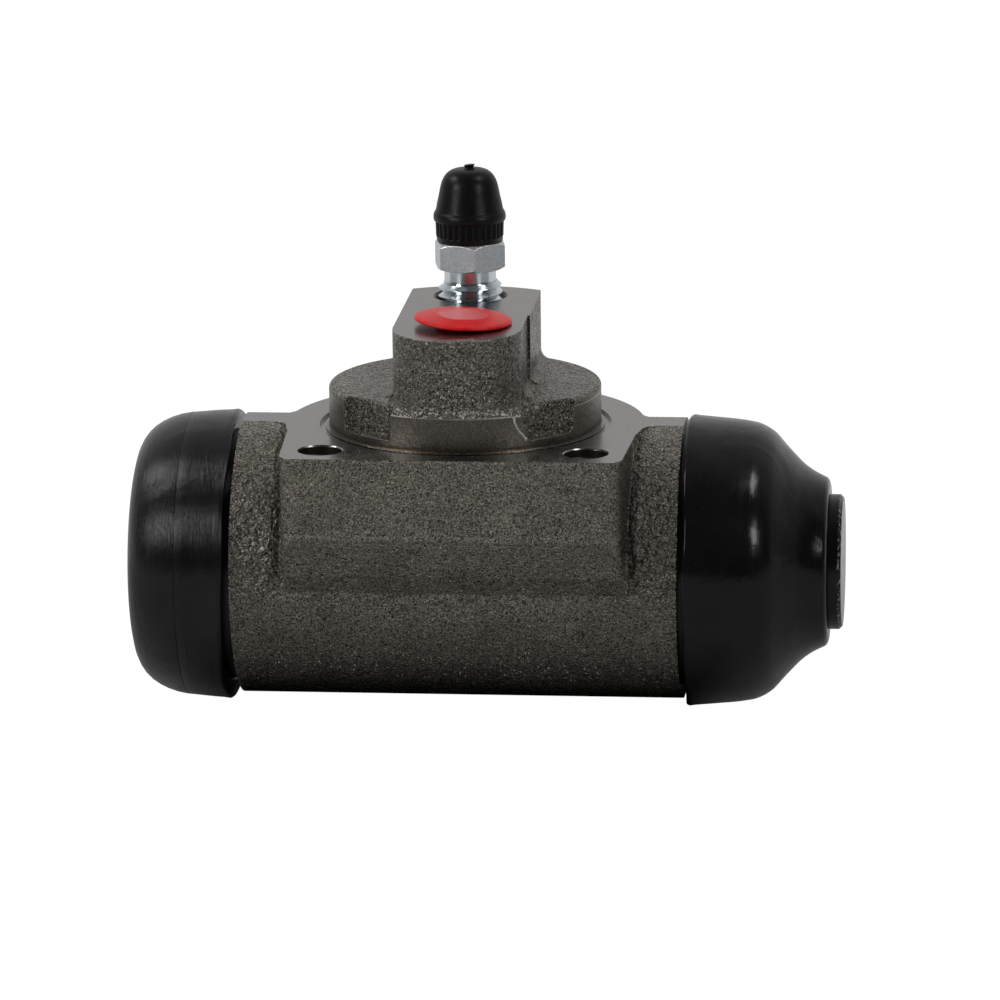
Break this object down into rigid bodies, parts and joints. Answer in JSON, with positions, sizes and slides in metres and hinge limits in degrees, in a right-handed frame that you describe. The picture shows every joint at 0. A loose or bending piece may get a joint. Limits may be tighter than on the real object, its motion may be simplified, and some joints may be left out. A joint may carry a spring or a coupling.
{
  "type": "drum brake wheel cylinder",
  "caption": "Cast iron drum brake wheel cylinder with two opposed pistons in rubber boots, a round pilot, a capped bleeder screw and a plugged inlet port.",
  "frame": {"origin": "pilot axis where it crosses the mounting face", "axes": "X along the bore, the protruding piston at +X; +Z out of the mounting face, toward the backing plate and bleeder; tapped mounting holes toward -Y"},
  "size_m": [0.1074, 0.0525, 0.081],
  "materials": {
    "cast_iron": "rough cast, milled on the mounting and boss faces",
    "aluminium": "turned",
    "rubber": "satin",
    "zinc_steel": "zinc plated",
    "spring_steel": "drawn wire",
    "red_plastic": "moulded"
  },
  "bodies": {
    "cylinder": {"cylinder_body": "cast_iron", "left_boot": "rubber", "right_boot": "rubber", "return_spring": "spring_steel"},
    "left_piston_set": {"left_piston": "aluminium", "left_cup_seal": "rubber", "left_cup_expander": "spring_steel"},
    "right_piston_set": {"right_piston": "aluminium", "right_cup_seal": "rubber", "right_cup_expander": "spring_steel"},
    "bleeder": {"bleeder_screw": "zinc_steel"},
    "cap": {"bleeder_cap": "rubber"},
    "plug": {"inlet_plug": "red_plastic"}
  },
  "joints": [
    {"name": "left_piston_slide", "type": "slide", "parent": "cylinder", "child": "left_piston_set", "axis": [-1, 0, 0], "range_m": [-0.003, 0.008], "deforming": ["left_boot", "return_spring"]},
    {"name": "right_piston_slide", "type": "slide", "parent": "cylinder", "child": "right_piston_set", "axis": [1, 0, 0], "range_m": [-0.008, 0.003], "deforming": ["right_boot", "return_spring"]},
    {"name": "bleeder_turn", "type": "hinge", "parent": "cylinder", "child": "bleeder", "pos_m": [-0.00035, 0.013, 0], "axis": [0, 0, 1], "range_deg": [0, 180]},
    {"name": "cap_pull", "type": "slide", "parent": "bleeder", "child": "cap", "axis": [0, 0, 1], "range_m": [0, 0.012]},
    {"name": "plug_pull", "type": "slide", "parent": "cylinder", "child": "plug", "axis": [0, 0, 1], "range_m": [0, 0.012]}
  ]
}
